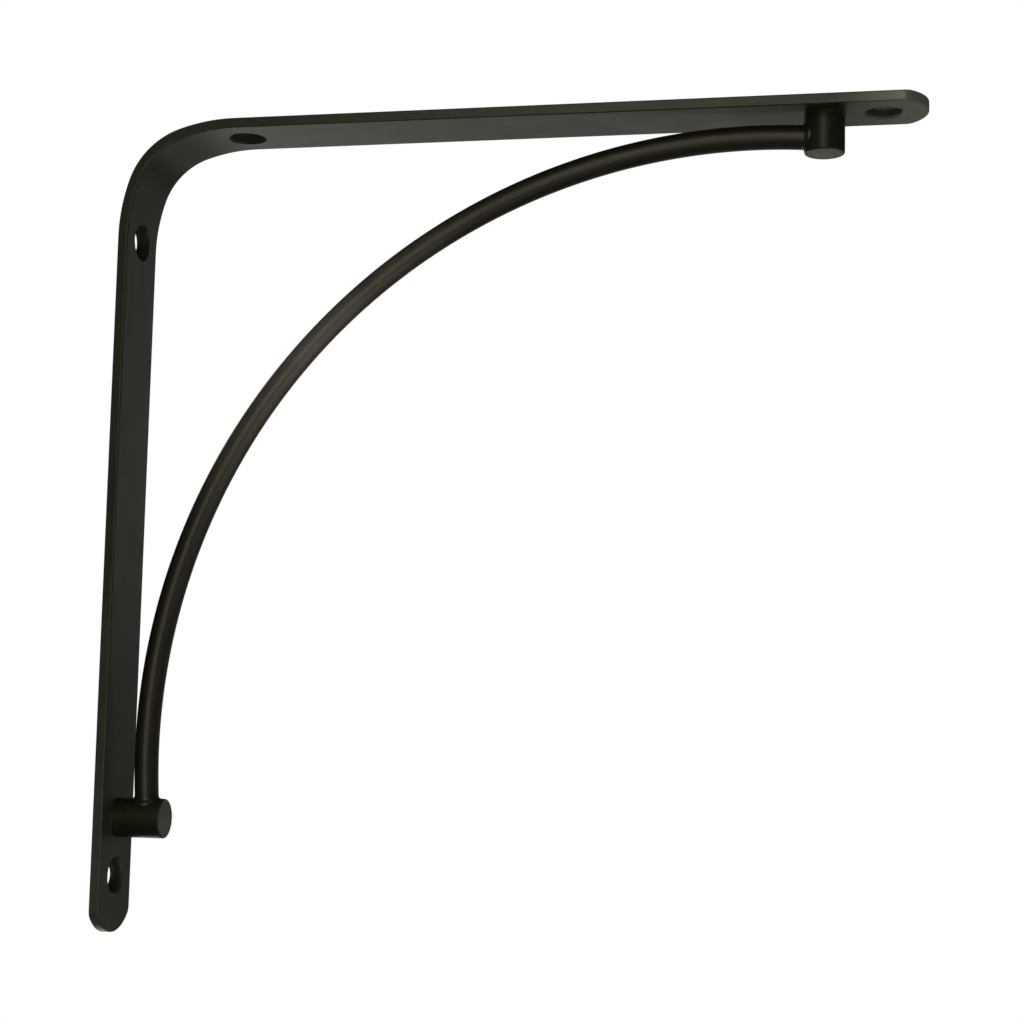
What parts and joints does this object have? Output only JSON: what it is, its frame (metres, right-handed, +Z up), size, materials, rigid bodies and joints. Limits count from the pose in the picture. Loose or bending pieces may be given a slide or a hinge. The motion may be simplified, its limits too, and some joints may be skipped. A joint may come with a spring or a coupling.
{
  "type": "shelf bracket",
  "caption": "Right-angled steel shelf bracket of bent flat bar with a curved round brace between two short posts and countersunk screw holes in both legs.",
  "frame": {"origin": "on the face that lies against the wall, on its middle line, midway between the wall leg's two screw holes", "axes": "+X out from the wall along the shelf leg, +Y across the bar's width, +Z up towards the shelf"},
  "size_m": [0.247, 0.024, 0.25],
  "materials": {
    "bar_paint": "satin dark bronze, near black",
    "post_paint": "satin dark bronze, near black",
    "brace_paint": "semi-gloss dark bronze, near black"
  },
  "bodies": {
    "root": {"bar_frame": "bar_paint", "shelf_post": "post_paint", "wall_post": "post_paint", "curved_brace": "brace_paint"}
  },
  "joints": []
}
